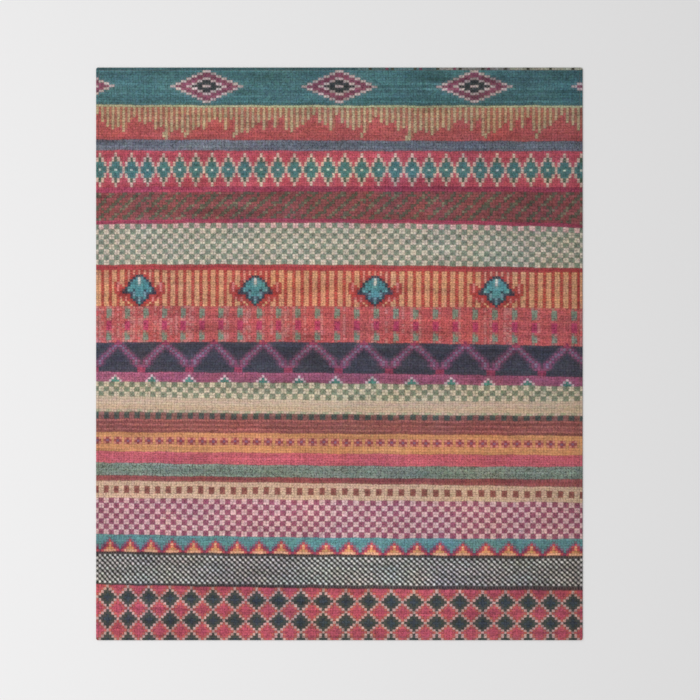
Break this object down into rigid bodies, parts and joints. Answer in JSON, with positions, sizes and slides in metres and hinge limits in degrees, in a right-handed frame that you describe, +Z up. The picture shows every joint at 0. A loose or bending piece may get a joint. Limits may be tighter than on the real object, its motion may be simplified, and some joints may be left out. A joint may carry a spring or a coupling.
{
  "type": "throw blanket",
  "caption": "Rectangular fleece throw blanket lying flat, printed with traditional woven-look bands in many colours, with rounded corners and a narrow sewn hem.",
  "frame": {"origin": "middle of the flat underside, on the surface that the throw lies on", "axes": "+X across the throw's width, +Y along its length towards the edge with the teal band, +Z up through the printed face"},
  "size_m": [1.295, 1.524, 0.0029],
  "materials": {
    "brushed_fleece": "matt brushed polyester fleece, printed face in bands of teal, coral, crimson, green, cream, orange, plum and charcoal, plain off-white back"
  },
  "bodies": {
    "root": {"throw_cloth": "brushed_fleece"}
  },
  "joints": []
}
